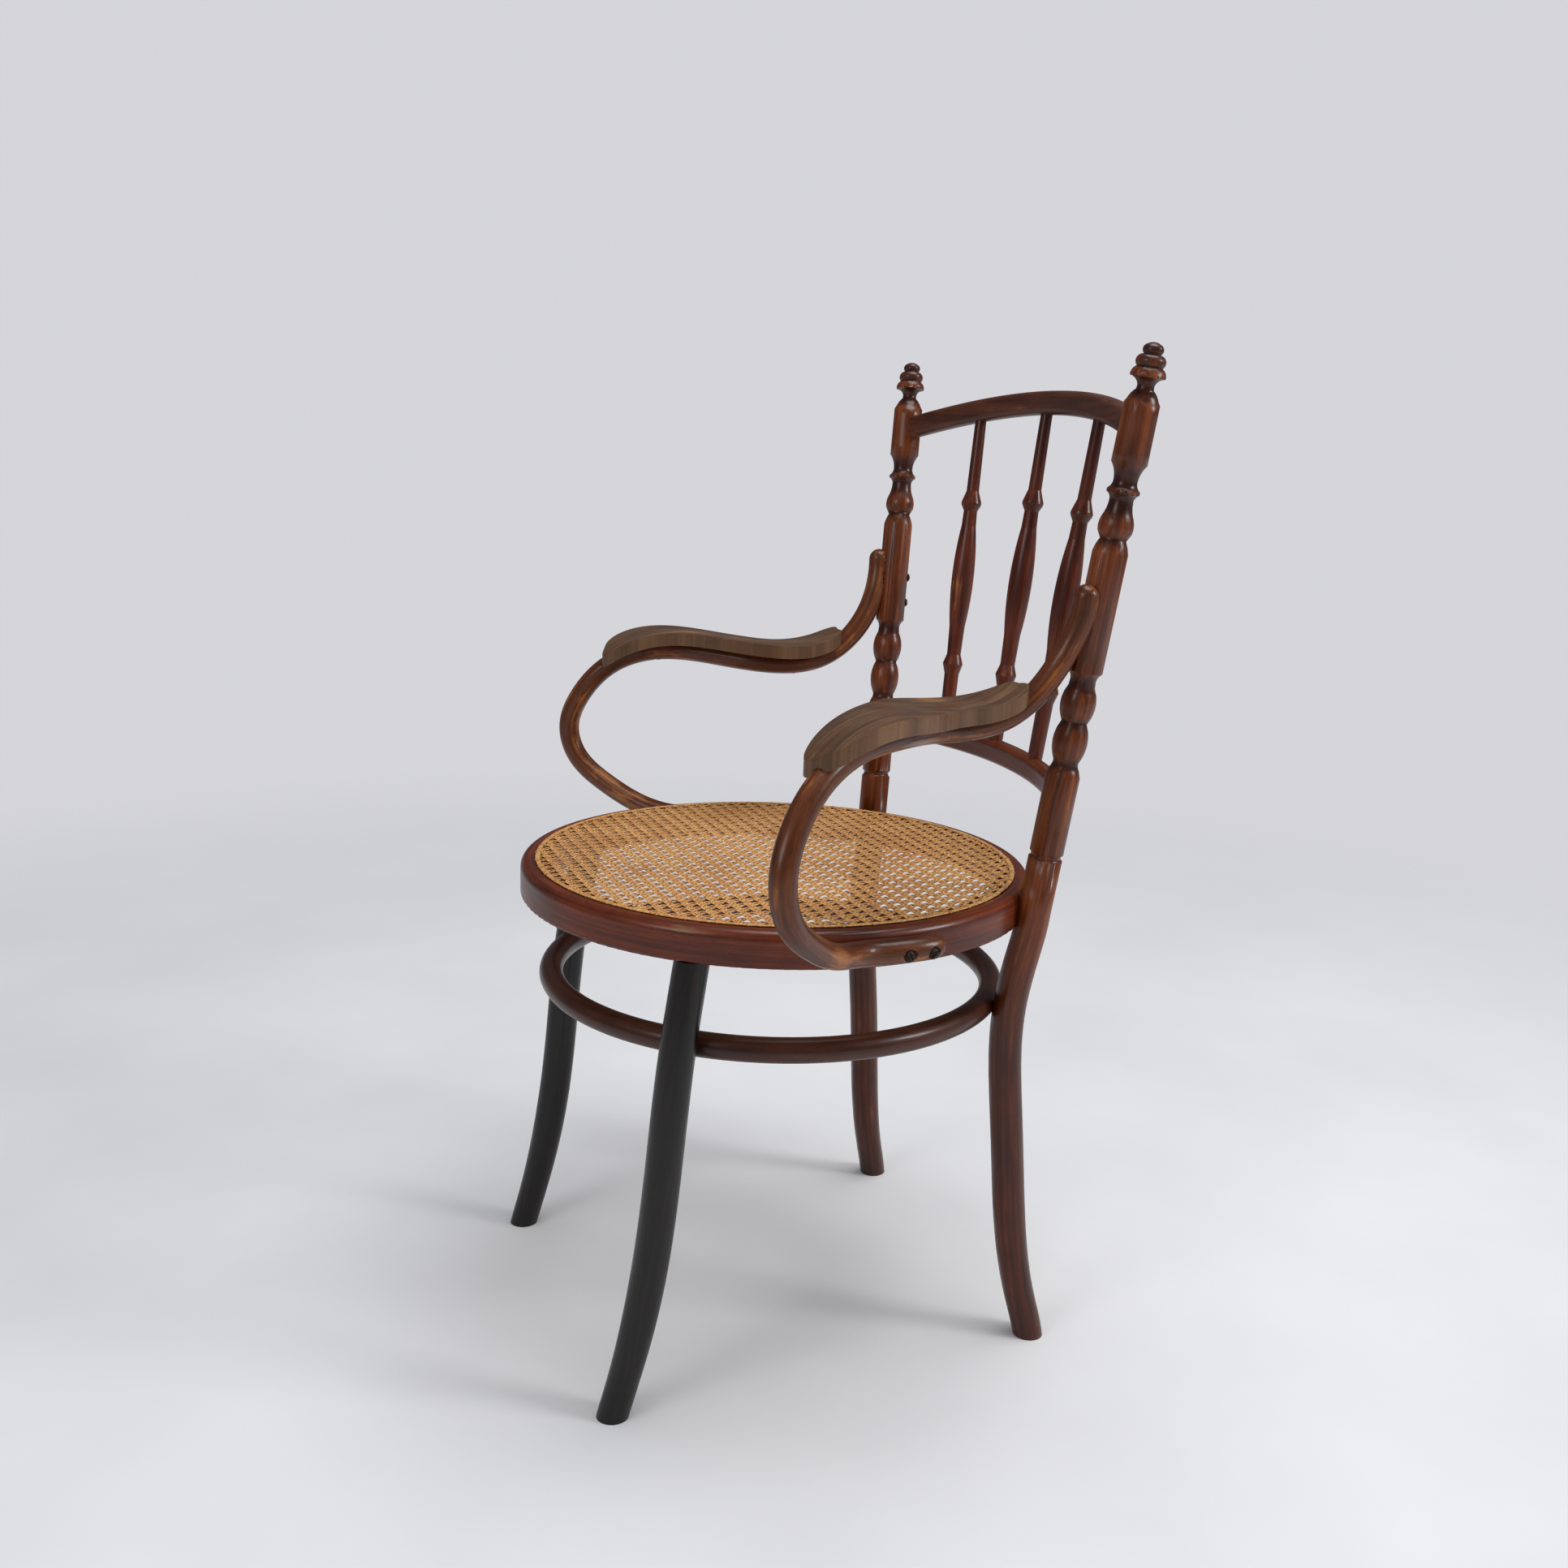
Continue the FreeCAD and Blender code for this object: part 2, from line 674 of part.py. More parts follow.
screws = {}
for name, maker, *size in screw_list(path):
    screws.setdefault(name, []).append(maker(*size))
    hole = screw_hole(maker, *size)
    if name == "arm_post_screws":
        post = post.cut(hole)
        arm = arm.cut(hole)
    if name == "arm_rim_screws":
        arm = arm.cut(hole)
        ring = ring.cut(hole).cut(mirrored(hole))
    if name == "pad_screws":
        arm = arm.cut(hole)
        pad = pad.cut(hole)
    if name == "seat_screws":
        ring = ring.cut(hole).cut(mirrored(hole))
        post = post.cut(hole)
    if name == "stretcher_screws":
        stretcher = stretcher.cut(hole).cut(mirrored(hole))
        front_leg = front_leg.cut(hole)
        post = post.cut(hole)

nodes = {
    "seat_ring": ring,
    "cane_web": make_cane_web(),
    "cane_binder": make_binder(),
    "stretcher_ring": stretcher,
    "front_leg_left": front_leg,
    "front_leg_right": mirrored(front_leg),
    "back_post_left": post,
    "back_post_right": mirrored(post),
    "top_rail": top_rail,
    "low_rail": low_rail,
    "spindle_left": spindle,
    "spindle_centre": centre_spindle,
    "spindle_right": mirrored(spindle),
    "arm_left": arm,
    "arm_right": mirrored(arm),
    "arm_pad_left": pad,
    "arm_pad_right": mirrored(pad),
}
for name, pieces in screws.items():
    nodes[name] = Part.makeCompound(pieces + [mirrored(p) for p in pieces])

# Stand the chair with the middle of its outline over the origin
box = Part.makeCompound(list(nodes.values())).optimalBoundingBox(False)
shift = V(0, -(box.YMin + box.YMax) / 2, 0)
print("moved by", shift)
os.makedirs("parts", exist_ok=True)
for name, shape in nodes.items():
    shape.translate(shift)
    print(name, "solids", len(shape.Solids), "valid", shape.isValid(), "volume", round(shape.Volume))
    shape.exportStep("parts/" + name + ".step")
box = Part.makeCompound(list(nodes.values())).optimalBoundingBox(False)
print("width", box.XLength, "depth", box.YLength, "height", box.ZLength)
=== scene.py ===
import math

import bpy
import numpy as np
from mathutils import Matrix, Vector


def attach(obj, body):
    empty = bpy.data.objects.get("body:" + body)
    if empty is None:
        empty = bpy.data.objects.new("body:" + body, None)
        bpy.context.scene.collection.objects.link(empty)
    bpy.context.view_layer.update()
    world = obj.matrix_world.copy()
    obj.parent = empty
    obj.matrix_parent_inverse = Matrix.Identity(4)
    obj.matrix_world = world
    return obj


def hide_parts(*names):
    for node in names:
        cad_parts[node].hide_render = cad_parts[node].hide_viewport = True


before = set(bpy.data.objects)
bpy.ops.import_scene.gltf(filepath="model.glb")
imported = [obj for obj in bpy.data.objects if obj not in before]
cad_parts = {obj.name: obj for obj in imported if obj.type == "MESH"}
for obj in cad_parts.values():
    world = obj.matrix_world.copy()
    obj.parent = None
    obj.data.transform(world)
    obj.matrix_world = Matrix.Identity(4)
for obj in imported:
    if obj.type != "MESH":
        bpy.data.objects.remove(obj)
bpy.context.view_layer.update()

# %% [markdown]
# # A bentwood armchair with a hand-caned seat
# The solids that were just loaded are the chair's measured pieces: hoops, legs, turned posts, rails, spindles,
# arms, pads and screws. They stand on the floor in metres, the sitter faces -Y and +Z is up.
# This lesson dresses them. It sets up a small photo studio, stains the wood, weaves the cane strand by strand,
# rounds the arm pads and cuts the slots in the screws.

print("pieces loaded:", len(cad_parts))

# %% [markdown]
# ## The camera
# The picture was taken from the chair's left front, a little above the seat, with a slightly wide lens.
# A camera is placed by its position and three turns: yaw around the upright axis, pitch down, and a small roll.
# Writing the three turns as one product of rotation matrices keeps each of them readable.

# %% Place the camera
camera_data = bpy.data.cameras.new("studio_camera")
camera_data.lens = 35.58
camera_data.sensor_width = 36.0
camera = bpy.data.objects.new("studio_camera", camera_data)
bpy.context.scene.collection.objects.link(camera)
camera_place = (1.2932, -0.5272, 0.7930)
camera_yaw = math.radians(68.20)
camera_pitch = math.radians(12.12)
camera_roll = math.radians(2.13)
camera.matrix_world = (
    Matrix.Translation(camera_place)
    @ Matrix.Rotation(camera_yaw, 4, "Z")
    @ Matrix.Rotation(math.pi / 2 - camera_pitch, 4, "X")
    @ Matrix.Rotation(camera_roll, 4, "Z")
)
bpy.context.scene.camera = camera
print("camera at", camera_place)

# %% [markdown]
# ## Small helpers
# Colours are easier to pick as the 0 to 255 numbers of a picture, but a shader wants linear light,
# so one helper converts them. A second helper starts an empty material and hands back its node tree,
# and a third adds a node and fills its sockets in one line.

# %% Helpers for colours and nodes
def paint(red, green, blue):
    def linear(value):
        share = value / 255
        return share / 12.92 if share <= 0.04045 else ((share + 0.055) / 1.055) ** 2.4

    return (linear(red), linear(green), linear(blue), 1.0)


def new_material(name):
    material = bpy.data.materials.new(name)
    material.use_nodes = True
    material.node_tree.nodes.clear()
    return material, material.node_tree


def add(tree, kind, sockets=None, **settings):
    node = tree.nodes.new("ShaderNode" + kind)
    for setting, value in settings.items():
        setattr(node, setting, value)
    for socket, value in (sockets or {}).items():
        if isinstance(value, bpy.types.NodeSocket):
            tree.links.new(value, node.inputs[socket])
        else:
            node.inputs[socket].default_value = value
    return node


def ramp(tree, factor, *stops):
    node = add(tree, "ValToRGB", {"Fac": factor})
    band = node.color_ramp
    while len(band.elements) < len(stops):
        band.elements.new(0.5)
    for element, (place, colour) in zip(band.elements, stops):
        element.position = place
        element.color = colour if len(colour) == 4 else (*colour, 1)
    return node.outputs["Color"]


def blend(tree, factor, first, second, way="MIX"):
    node = add(tree, "MixRGB", {"Fac": factor, "Color1": first, "Color2": second}, blend_type=way)
    return node.outputs["Color"]


def deselect():
    bpy.ops.object.select_all(action="DESELECT")


print("helpers ready")

# %% [markdown]
# ## The studio
# The chair stands on a pale seamless floor that fades into the backdrop with no horizon.
# A curved paper sweep would only work from one side. Here the floor is a large disc whose far part
# turns into the colour of the backdrop, so it looks the same from every side.

# %% Build the floor
backdrop = paint(213, 213, 218)
deselect()
bpy.ops.mesh.primitive_circle_add(vertices=128, radius=14, fill_type="NGON", location=(0, 0, 0))
floor = bpy.context.object
floor.name = "studio_floor"
floor_paint, tree = new_material("pale_floor")
place = add(tree, "TexCoord").outputs["Object"]
distance = add(tree, "VectorMath", {0: place}, operation="LENGTH").outputs["Value"]
far = add(tree, "MapRange", {"Value": distance, "From Min": 0.7, "From Max": 2.6}, interpolation_type="SMOOTHSTEP")
cloud = add(tree, "TexNoise", {"Vector": place, "Scale": 2.2, "Detail": 5.0}).outputs["Fac"]
floor_colour = ramp(tree, cloud, (0.3, paint(208, 208, 210)), (0.7, paint(219, 219, 220)))
dull = add(tree, "BsdfPrincipled", {"Base Color": floor_colour, "Roughness": 0.9, "Specular IOR Level": 0.1})
sky = add(tree, "Emission", {"Color": backdrop, "Strength": 1.0})
seen = add(tree, "LightPath")
direct = add(tree, "Math", {0: seen.outputs["Is Camera Ray"], 1: far.outputs["Result"]}, operation="MULTIPLY")
mixed = add(tree, "MixShader", {0: direct.outputs[0], 1: dull.outputs[0], 2: sky.outputs[0]})
add(tree, "OutputMaterial", {"Surface": mixed.outputs[0]})
floor.data.materials.append(floor_paint)
print("floor is", round(floor.dimensions.x, 1), "m across")

# %% [markdown]
# ## The light
# The room has broad, soft light from overhead and from the right of the picture, so the shadows are pale and wide.
# Large area lamps give that. The world adds an even fill, dimmer in
# reflections so that dark polished wood stays dark, and shows the backdrop colour to the camera.

# %% Hang the lamps
def soft_lamp(name, place, aim, size, power):
    data = bpy.data.lights.new(name, "AREA")
    data.shape = "DISK"
    data.size = size
    data.energy = power
    lamp = bpy.data.objects.new(name, data)
    lamp.location = place
    lamp.rotation_euler = (Vector(aim) - Vector(place)).to_track_quat("-Z", "Y").to_euler()
    bpy.context.scene.collection.objects.link(lamp)
    return lamp


soft_lamp("overhead", (0.2, 0.5, 2.9), (0, 0, 0.3), 1.8, 50)
soft_lamp("window", (2.4, 3.4, 2.6), (0, 0, 0.5), 1.4, 84)
soft_lamp("front_fill", (1.2, -2.6, 1.9), (0, 0, 0.5), 1.4, 20)
world = bpy.data.worlds.new("studio_world")
world.use_nodes = True
tree = world.node_tree
tree.nodes.clear()
fill = add(tree, "Background", {"Color": paint(235, 238, 245), "Strength": 0.5})
wall = add(tree, "Background", {"Color": backdrop, "Strength": 1.0})
dim = add(tree, "Background", {"Color": paint(235, 238, 245), "Strength": 0.12})
seen = add(tree, "LightPath")
calm = add(tree, "MixShader", {0: seen.outputs["Is Glossy Ray"], 1: fill.outputs[0], 2: dim.outputs[0]})
mixed = add(tree, "MixShader", {0: seen.outputs["Is Camera Ray"], 1: calm.outputs[0], 2: wall.outputs[0]})
add(tree, "OutputWorld", {"Surface": mixed.outputs[0]})
bpy.context.scene.world = world
bpy.context.scene.view_settings.view_transform = "Standard"
print("lamps:", len(bpy.data.lights))

# %% [markdown]
# ## Stained beech
# Beech has long faint streaks and many short dark flecks, all along the grain. The stain is uneven, the shellac
# over it shines, and hands and shoes have worn it back to golden wood in patches. One recipe makes every stained
# piece: it gets a position whose third number runs along the grain, and stretches its noise that way.
# What changes from piece to piece is where that position comes from, and the four colours. Three touches are
# optional: painted shade in the grooves of a turning, sides rubbed paler than the top, and painted shade under the
# seat, which darkens the wood below a height.

# %% The recipe for stained wood
def stained(name, place_maker, dark, middle, light, worn, wear=0.5, groove_shade=None, gloss=0.32, rubbed_sides=0.0,
            shaded_below=0.0):
    material, tree = new_material(name)
    place, extra = place_maker(tree)
    long_place = add(tree, "VectorMath", {0: place, 1: (1, 1, 0.035)}, operation="MULTIPLY").outputs[0]
    short_place = add(tree, "VectorMath", {0: place, 1: (1, 1, 0.14)}, operation="MULTIPLY").outputs[0]
    patch_place = add(tree, "VectorMath", {0: place, 1: (1, 1, 0.45)}, operation="MULTIPLY").outputs[0]
    streak = add(tree, "TexNoise", {"Vector": long_place, "Scale": 230.0, "Detail": 4.0, "Roughness": 0.62})
    fleck = add(tree, "TexNoise", {"Vector": short_place, "Scale": 1300.0, "Detail": 2.0})
    patch = add(tree, "TexNoise", {"Vector": patch_place, "Scale": 34.0, "Detail": 4.0, "Roughness": 0.6})
    wood = ramp(tree, streak.outputs["Fac"], (0.16, dark), (0.50, middle), (0.80, light))
    stain = ramp(tree, patch.outputs["Fac"], (0.34, (0.5, 0.46, 0.46)), (0.58, (1, 1, 1)))
    wood = blend(tree, 0.8, wood, stain, "MULTIPLY")
    uneven = add(tree, "Math", {0: streak.outputs["Fac"], 1: 0.45, 2: patch.outputs["Fac"]}, operation="MULTIPLY_ADD")
    start = 0.95 - 0.26 * wear
    bare = add(tree, "MapRange", {"Value": uneven.outputs[0], "From Min": start, "From Max": start + 0.12,
                                  "To Max": 0.85}).outputs["Result"]
    wood = blend(tree, bare, wood, worn)
    if rubbed_sides:
        facing = add(tree, "SeparateXYZ", {0: add(tree, "TexCoord").outputs["Normal"]}).outputs[2]
        edge = add(tree, "MapRange", {"Value": facing, "From Min": 0.98, "From Max": 0.45, "To Max": rubbed_sides})
        spread = add(tree, "Math", {0: edge.outputs["Result"], 1: streak.outputs["Fac"]}, operation="MULTIPLY")
        wood = blend(tree, spread.outputs[0], wood, worn)
    spots = ramp(tree, fleck.outputs["Fac"], (0.36, (0.55, 0.5, 0.48)), (0.47, (1, 1, 1)))
    wood = blend(tree, 0.4, wood, spots, "MULTIPLY")
    # painted shade: below this height, under the seat, the wood is darkened as if shaded
    if shaded_below:
        height = add(tree, "SeparateXYZ", {0: add(tree, "TexCoord").outputs["Object"]}).outputs[2]
        under_seat_shade = add(tree, "MapRange", {"Value": height, "From Min": shaded_below, "From Max": shaded_below - 0.12})
        wood = blend(tree, under_seat_shade.outputs["Result"], wood, blend(tree, 1.0, wood, (0.5, 0.4, 0.36, 1), "MULTIPLY"))
    # painted shade: the thin necks and grooves of a turning are darkened as if in shade
    if groove_shade:
        groove_shade_mask = add(tree, "MapRange", {"Value": extra, "From Min": groove_shade[0], "From Max": groove_shade[1]})
        wood = blend(tree, groove_shade_mask.outputs["Result"], blend(tree, 1.0, wood, (0.34, 0.26, 0.24, 1), "MULTIPLY"), wood)
    shine = add(tree, "MapRange", {"Value": patch.outputs["Fac"], "From Min": 0.3, "From Max": 0.7,
                                   "To Min": gloss, "To Max": gloss + 0.2})
    relief = add(tree, "Bump", {"Height": fleck.outputs["Fac"], "Strength": 0.12, "Distance": 0.0006})
    skin = add(tree, "BsdfPrincipled", {"Base Color": wood, "Roughness": shine.outputs["Result"],
                                        "Normal": relief.outputs[0], "Specular IOR Level": 0.25,
                                        "Coat Weight": 0.3, "Coat Roughness": 0.2})
    add(tree, "OutputMaterial", {"Surface": skin.outputs[0]})
    return material


print("stained wood recipe ready")

# %% [markdown]
# ## Where the grain runs
# On a straight turning the grain runs along the turning's axis. On a bent hoop or rail it runs round a circle.
# For both, the position is worked out from Object coordinates with a few math nodes. Left and right pieces
# mirror each other, so the sideways number is used without its sign, and its sign only shifts the pattern.

# %% Grain along a line and round a circle
def mirrored_place(tree):
    place = add(tree, "TexCoord").outputs["Object"]
    parts = add(tree, "SeparateXYZ", {0: place})
    side = add(tree, "Math", {0: parts.outputs[0]}, operation="SIGN").outputs[0]
    width = add(tree, "Math", {0: parts.outputs[0]}, operation="ABSOLUTE").outputs[0]
    shift = add(tree, "Math", {0: side, 1: 0.7}, operation="MULTIPLY").outputs[0]
    return add(tree, "CombineXYZ", {0: width, 1: parts.outputs[1], 2: parts.outputs[2]}).outputs[0], shift


def along_line(base, tip, mirror=True):
    base = Vector(base)
    direction = (Vector(tip) - base).normalized()

    def maker(tree):
        place, shift = mirrored_place(tree)
        if not mirror:
            place = add(tree, "TexCoord").outputs["Object"]
        offset = add(tree, "VectorMath", {0: place, 1: base}, operation="SUBTRACT").outputs[0]
        along = add(tree, "VectorMath", {0: offset, 1: direction}, operation="DOT_PRODUCT").outputs["Value"]
        foot = add(tree, "VectorMath", {0: tuple(direction), "Scale": along}, operation="SCALE").outputs[0]
        across = add(tree, "VectorMath", {0: offset, 1: foot}, operation="SUBTRACT").outputs[0]
        radius = add(tree, "VectorMath", {0: across}, operation="LENGTH").outputs["Value"]
        parts = add(tree, "SeparateXYZ", {0: across})
        length = add(tree, "Math", {0: along, 1: shift}, operation="ADD").outputs[0]
        return add(tree, "CombineXYZ", {0: parts.outputs[0], 1: parts.outputs[1], 2: length}).outputs[0], radius

    return maker


def round_circle(centre_y, radius, facing):
    def maker(tree):
        parts = add(tree, "SeparateXYZ", {0: add(tree, "TexCoord").outputs["Object"]})
        ahead = add(tree, "Math", {0: centre_y, 1: parts.outputs[1]}, operation="SUBTRACT").outputs[0]
        ahead = add(tree, "Math", {0: ahead, 1: facing}, operation="MULTIPLY").outputs[0]
        turn = add(tree, "Math", {0: parts.outputs[0], 1: ahead}, operation="ARCTAN2").outputs[0]
        square = add(tree, "Math", {0: ahead, 1: ahead}, operation="MULTIPLY").outputs[0]
        total = add(tree, "Math", {0: parts.outputs[0], 1: parts.outputs[0], 2: square}, operation="MULTIPLY_ADD")
        reach = add(tree, "Math", {0: total.outputs[0]}, operation="SQRT").outputs[0]
        length = add(tree, "Math", {0: turn, 1: radius}, operation="MULTIPLY").outputs[0]
        return add(tree, "CombineXYZ", {0: reach, 1: parts.outputs[2], 2: length}).outputs[0], parts.outputs[2]

    return maker


print("grain helpers ready")

# %% [markdown]
# ## Stain the straight and the round pieces
# Each piece of the frame has its own stain. The hoop of the seat is red-brown and worn in patches,
# the hoop between the legs is darker, and the front legs are almost black. The rails bend round circles, the
# spindles are straight. These pieces keep their measured shapes and only get a finish.

# %% Finish the frame pieces
def finish(node, material):
    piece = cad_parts[node]
    piece.data.materials.clear()
    piece.data.materials.append(material)
    deselect()
    piece.select_set(True)
    bpy.context.view_layer.objects.active = piece
    bpy.ops.object.shade_smooth_by_angle(angle=math.radians(35))


seat_middle = -0.016
soot = paint(28, 15, 9)
red_brown = paint(96, 42, 17)
gold = paint(158, 98, 46)
finish("seat_ring", stained("hoop_stain", round_circle(seat_middle, 0.22, 1), soot, paint(96, 36, 10),
                            paint(130, 58, 18), paint(116, 80, 50), wear=0.3))
finish("stretcher_ring", stained("stretcher_stain", round_circle(seat_middle, 0.205, 1), soot, paint(66, 29, 12),
                                 paint(92, 48, 28), paint(118, 72, 42), wear=0.15))
finish("top_rail", stained("top_rail_stain", round_circle(-0.2984, 0.539, -1), soot, paint(80, 38, 17),
                           paint(106, 58, 34), paint(130, 82, 48), wear=0.25))
finish("low_rail", stained("low_rail_stain", round_circle(-0.2521, 0.459, -1), soot, red_brown,
                           paint(122, 60, 26), gold, wear=0.2))
leg_line = along_line((0.175, -0.213, 0.0), (0.1758, -0.164, 0.317))
leg_stain = stained("front_leg_stain", leg_line, paint(8, 5, 4), paint(18, 12, 9),
                    paint(36, 24, 17), paint(66, 44, 28), wear=0.1)
finish("front_leg_left", leg_stain)
finish("front_leg_right", leg_stain)
spindle_line = along_line((0.088, 0.1987, 0.517), (0.108, 0.2298, 0.8387))
# the spindle stain paints shade into the grooves of the turning
spindle_stain = stained("spindle_stain", spindle_line, soot, paint(88, 32, 9), paint(128, 56, 18), gold,
                        wear=0.15, groove_shade=(0.0050, 0.0064))
finish("spindle_left", spindle_stain)
finish("spindle_right", spindle_stain)
middle_line = along_line((0, 0.2072, 0.5176), (0, 0.2407, 0.8455), mirror=False)
# the centre spindle stain paints shade into the grooves of the turning
finish("spindle_centre", stained("centre_spindle_stain", middle_line, soot, paint(86, 31, 9),
                                 paint(124, 54, 18), gold, wear=0.15, groove_shade=(0.0050, 0.0064)))
print("stained pieces:", len(bpy.data.materials) - 1)

# %% [markdown]
# ## Grain that follows a bend
# The arms and the back posts were steamed and bent, so their grain follows the bend, and no single line or circle
# can describe it. A copy of the measured mesh gets an attribute instead. For each vertex it holds how far it lies
# from the middle line, in two directions, and how far along that line. The stain reads it by name.

# %% Helpers: a smooth line, and the grain attribute
def smooth_line(points, steps=10):
    spots = [Vector(p) for p in points]
    spots = [spots[0] * 2 - spots[1]] + spots + [spots[-1] * 2 - spots[-2]]
    line = []
    for a, b, c, d in zip(spots, spots[1:], spots[2:], spots[3:]):
        for k in range(steps):
            t = k / steps
            line.append(((2 * b) + (c - a) * t + (2 * a - 5 * b + 4 * c - d) * t * t
                         + (3 * b - a - 3 * c + d) * t ** 3) / 2)
    line.append(spots[-2])
    return line


def welded_copy(node, name, body="root"):
    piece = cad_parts[node].copy()
    piece.data = piece.data.copy()
    for tag in list(piece.keys()):
        del piece[tag]
    piece.name = name
    piece.data.name = name
    piece.data.materials.clear()
    bpy.context.scene.collection.objects.link(piece)
    deselect()
    piece.select_set(True)
    bpy.context.view_layer.objects.active = piece
    bpy.ops.object.mode_set(mode="EDIT")
    bpy.ops.mesh.select_all(action="SELECT")
    bpy.ops.mesh.remove_doubles(threshold=0.00001)
    bpy.ops.object.mode_set(mode="OBJECT")
    bpy.ops.object.shade_smooth_by_angle(angle=math.radians(35))
    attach(piece, body)
    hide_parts(node)
    return piece


def lay_grain(piece, line, mirror):
    spots = np.array(line)
    if mirror:
        spots[:, 0] *= -1
    steps = np.diff(spots, axis=0)
    lengths = np.linalg.norm(steps, axis=1)
    travelled = np.concatenate([[0], np.cumsum(lengths)])
    ways = np.vstack([steps / lengths[:, None], steps[-1] / lengths[-1]])
    ways[1:-1] = (ways[1:-1] + ways[:-2]) / 2
    ways /= np.linalg.norm(ways, axis=1)[:, None]
    sides = [np.cross(ways[0], (0.3, 0.9, 0.1))]
    for way in ways:
        side = sides[-1] - way * (sides[-1] @ way)
        sides.append(side / np.linalg.norm(side))
    sides = np.array(sides[1:])
    ups = np.cross(ways, sides)
    count = len(piece.data.vertices)
    places = np.empty(count * 3)
    piece.data.vertices.foreach_get("co", places)
    places = places.reshape(-1, 3)
    nearest = np.empty(count, int)
    for start in range(0, count, 4000):
        part = places[start:start + 4000]
        nearest[start:start + 4000] = ((part[:, None] - spots[None]) ** 2).sum(2).argmin(1)
    offset = places - spots[nearest]
    extra = (offset * ways[nearest]).sum(1)
    across = offset - ways[nearest] * extra[:, None]
    grain = np.stack([(across * sides[nearest]).sum(1), (across * ups[nearest]).sum(1),
                      travelled[nearest] + extra + (3.0 if mirror else 0.0)], axis=1)
    layer = piece.data.attributes.new("grain", "FLOAT_VECTOR", "POINT")
    layer.data.foreach_set("vector", grain.astype(np.float32).ravel())


def laid_grain(tree):
    place = add(tree, "Attribute", attribute_name="grain").outputs["Vector"]
    parts = add(tree, "SeparateXYZ", {0: place})
    flat = add(tree, "CombineXYZ", {0: parts.outputs[0], 1: parts.outputs[1]}).outputs[0]
    return place, add(tree, "VectorMath", {0: flat}, operation="LENGTH").outputs["Value"]


print("grain attribute helpers ready")

# %% [markdown]
# ## The back posts
# Each back post is one piece from the foot to the finial: bent below the seat, straight and turned above it.
# The same stain paints shade into the necks and grooves of the turning and below the seat. The distance from the
# middle line, which the grain attribute already holds, tells the stain where the necks and grooves are.

# %% Finish the back posts
post_line = smooth_line([
    (0.173, 0.184, -0.004), (0.1639, 0.1678, 0.08), (0.1575, 0.1565, 0.2), (0.1584, 0.1497, 0.317),
    (0.1701, 0.1608, 0.41), (0.180, 0.1698, 0.51), (0.1950, 0.1834, 0.66), (0.2178, 0.2039, 0.8875),
])
# the post stain paints shade into the grooves and onto the post below the seat
post_stain = stained("post_stain", laid_grain, soot, paint(108, 49, 14), paint(154, 82, 30), gold,
                     wear=0.3, groove_shade=(0.0108, 0.0142), shaded_below=0.42)
for side in ("left", "right"):
    post = welded_copy("back_post_" + side, "bent_post_" + side)
    lay_grain(post, post_line, side == "right")
    post.data.materials.append(post_stain)
    print(post.name, len(post.data.vertices), "vertices")

# %% [markdown]
# ## The arms
# Each arm is one steamed rod. It leaves the post, rises and falls under the pad, loops down at the front and ends
# on the rim of the seat. Hands have rubbed its stain through to golden wood, and left dark streaks between.

# %% Finish the arms
arm_line = smooth_line([
    (0.2017, 0.1691, 0.6855), (0.1999, 0.1675, 0.6675), (0.194, 0.156, 0.635), (0.192, 0.134, 0.6045),
    (0.1918, 0.104, 0.5845), (0.1922, 0.074, 0.578), (0.201, 0.040, 0.5783), (0.226, 0.007, 0.5815),
    (0.256, -0.0265, 0.5843), (0.277, -0.061, 0.5812), (0.296, -0.099, 0.5625), (0.309, -0.124, 0.531),
    (0.3165, -0.1345, 0.495), (0.311, -0.127, 0.4655), (0.290, -0.101, 0.438), (0.262, -0.067, 0.4175),
    (0.2409, -0.0328, 0.4102), (0.2409, 0.0008, 0.4102), (0.2374, 0.0284, 0.4102),
])
arm_stain = stained("arm_stain", laid_grain, soot, paint(96, 46, 14), paint(138, 76, 28), gold, wear=0.6)
for side in ("left", "right"):
    arm = welded_copy("arm_" + side, "bent_arm_" + side)
    lay_grain(arm, arm_line, side == "right")
    arm.data.materials.append(arm_stain)
    print(arm.name, len(arm.data.vertices), "vertices")

# %% [markdown]
# ## The arm pads
# A pad is a thin board, sawn to a wave and rounded in plan. Its measured solid has sharp edges, and the real one
# has been rubbed round. A copy gets a Bevel modifier, which rounds every edge sharper than a chosen angle.
# The paler sides come from the stain: it looks at how far a face turns away from straight up.

# %% Round and finish the arm pads
pad_line = along_line((0.192, 0.12, 0.585), (0.29, -0.10, 0.585))
pad_stain = stained("pad_stain", pad_line, paint(50, 33, 21), paint(94, 66, 44), paint(122, 90, 61),
                    paint(148, 100, 54),
                    wear=0.35, gloss=0.42, rubbed_sides=0.25)
for side in ("left", "right"):
    pad = welded_copy("arm_pad_" + side, "rounded_pad_" + side)
    soften = pad.modifiers.new("worn edges", "BEVEL")
    soften.width = 0.0022
    soften.segments = 3
    soften.limit_method = "ANGLE"
    soften.angle_limit = math.radians(50)
    bpy.ops.object.modifier_apply(modifier=soften.name)
    bpy.ops.object.shade_smooth_by_angle(angle=math.radians(35))
    pad.data.materials.append(pad_stain)
    print(pad.name, len(pad.data.polygons), "faces")

# %% [markdown]
# ## The screws
# The screws on the rim and behind the posts show their heads, and each head has a straight slot.
# A slot is cut as in a workshop: a thin blade stands across the head, and a Boolean takes its shape away.

